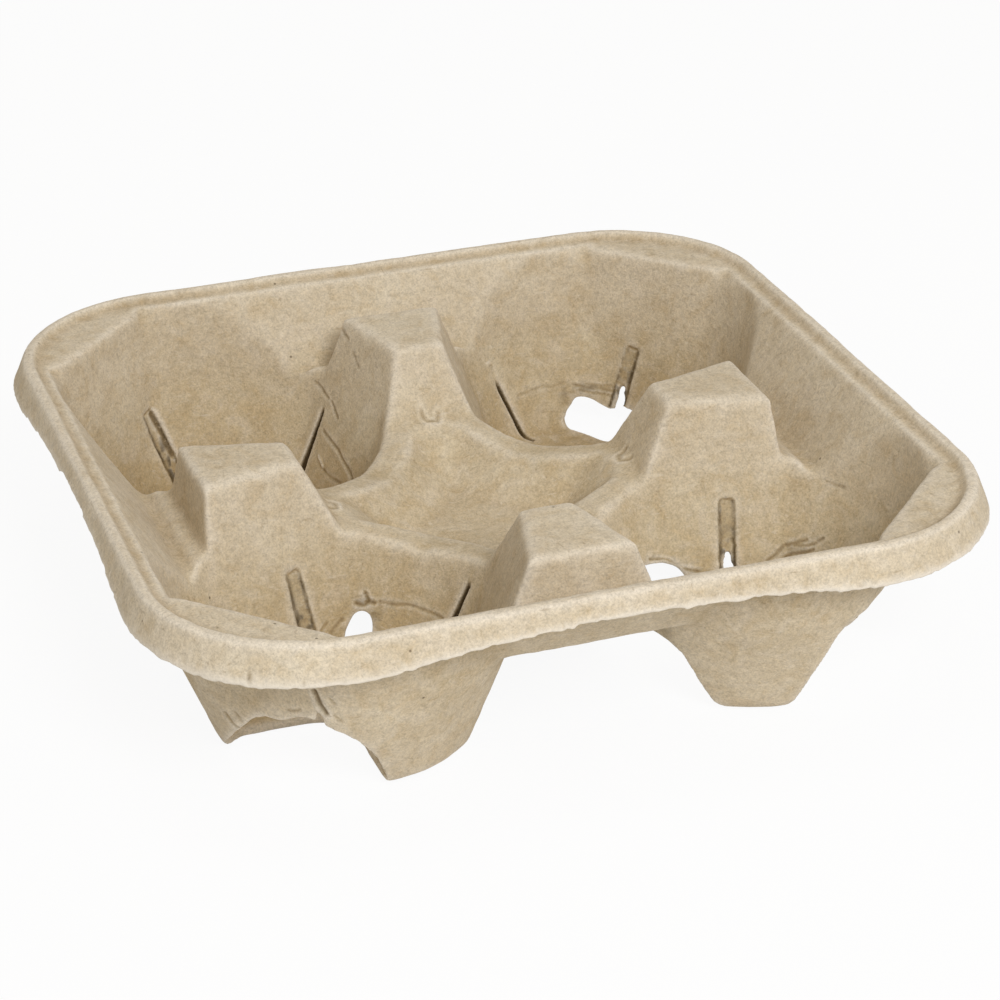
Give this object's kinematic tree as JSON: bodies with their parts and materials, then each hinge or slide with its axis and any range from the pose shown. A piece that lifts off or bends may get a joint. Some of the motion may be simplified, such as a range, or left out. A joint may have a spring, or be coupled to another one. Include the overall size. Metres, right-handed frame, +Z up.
{
  "type": "moulded pulp cup carrier",
  "caption": "Square moulded pulp tray that carries drinking cups in tapered pockets, with hollow posts between them, a centre well and a turned-down rim.",
  "frame": {"origin": "under the middle of the tray, on the plane the feet stand on", "axes": "+Z up out of the pockets, +X and +Y along two neighbouring sides of the rim"},
  "size_m": [0.2188, 0.2188, 0.054],
  "materials": {
    "pulp": "matt, fibrous, unbleached"
  },
  "bodies": {
    "root": {"carrier_tray": "pulp"}
  },
  "joints": []
}
